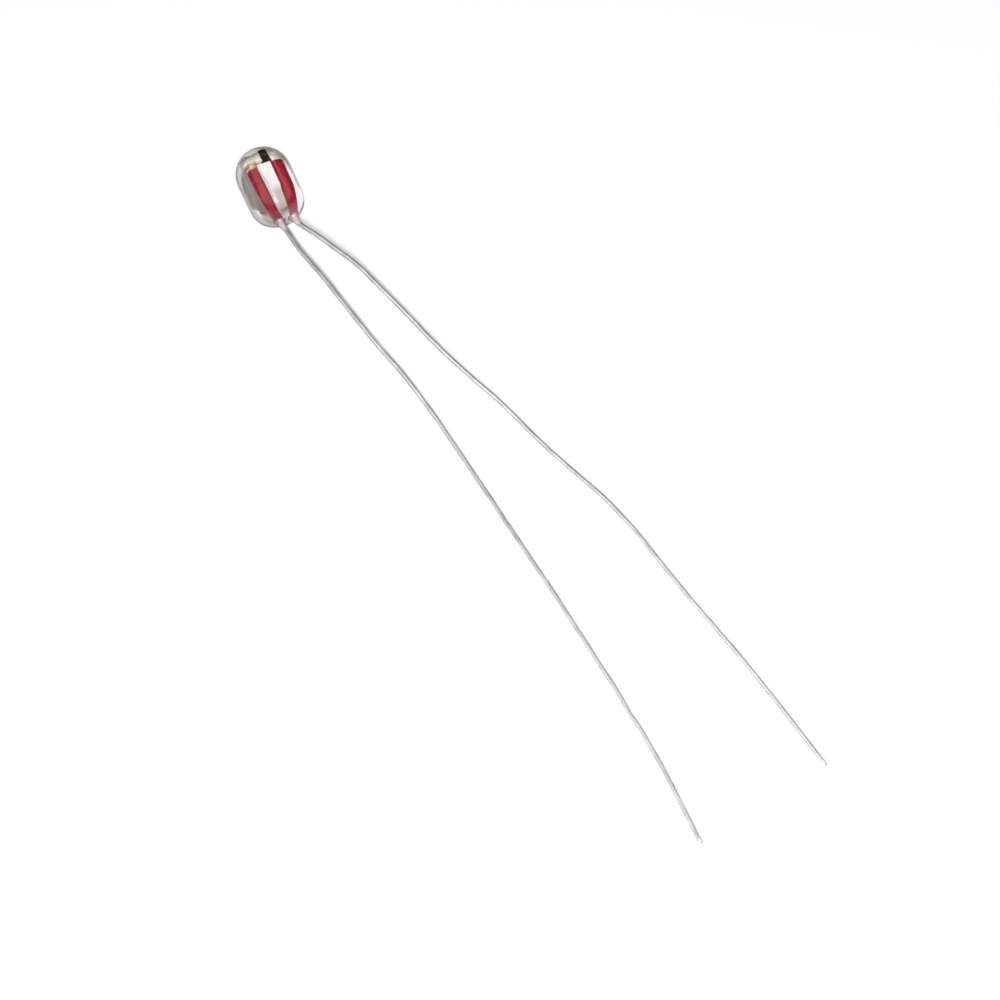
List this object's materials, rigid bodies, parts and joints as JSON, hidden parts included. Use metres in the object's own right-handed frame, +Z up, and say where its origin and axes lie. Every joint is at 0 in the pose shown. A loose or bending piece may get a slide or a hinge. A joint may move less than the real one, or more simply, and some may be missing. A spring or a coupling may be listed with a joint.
{
  "type": "ntc thermistor",
  "caption": "Glass-sealed bead thermistor lying on its side, a dark ceramic chip and red-skinned wires inside clear glass, bare thin wire leads from one end.",
  "frame": {"origin": "on the bead's axis, at the middle of its straight barrel", "axes": "+X along the bead's axis, from the closed end towards the leads; +Y towards the right lead, as seen from above with the leads towards the viewer; +Z up, with the bead and the leads lying on a surface at z = -1.15 mm"},
  "size_m": [0.0351, 0.0114, 0.0024],
  "materials": {
    "clear_glass": "clear, flame-polished, faintly grey-lilac",
    "chip_ceramic": "sintered metal oxide, near black-brown, matt",
    "fired_silver": "thin fired silver, satin",
    "silver_paste": "cream-silver conductive paste, fine grained, tan at its rim",
    "red_oxide": "red copper oxide glaze on the sealed wire",
    "lead_wire": "tinned copper-clad alloy wire, dull grey, slightly uneven"
  },
  "bodies": {
    "root": {"glass_body": "clear_glass", "thermistor_chip": "chip_ceramic", "electrode_left": "fired_silver", "electrode_right": "fired_silver", "joint_left": "silver_paste", "joint_right": "silver_paste", "oxide_skin_left": "red_oxide", "oxide_skin_right": "red_oxide", "lead_left": "lead_wire", "lead_right": "lead_wire"}
  },
  "joints": []
}
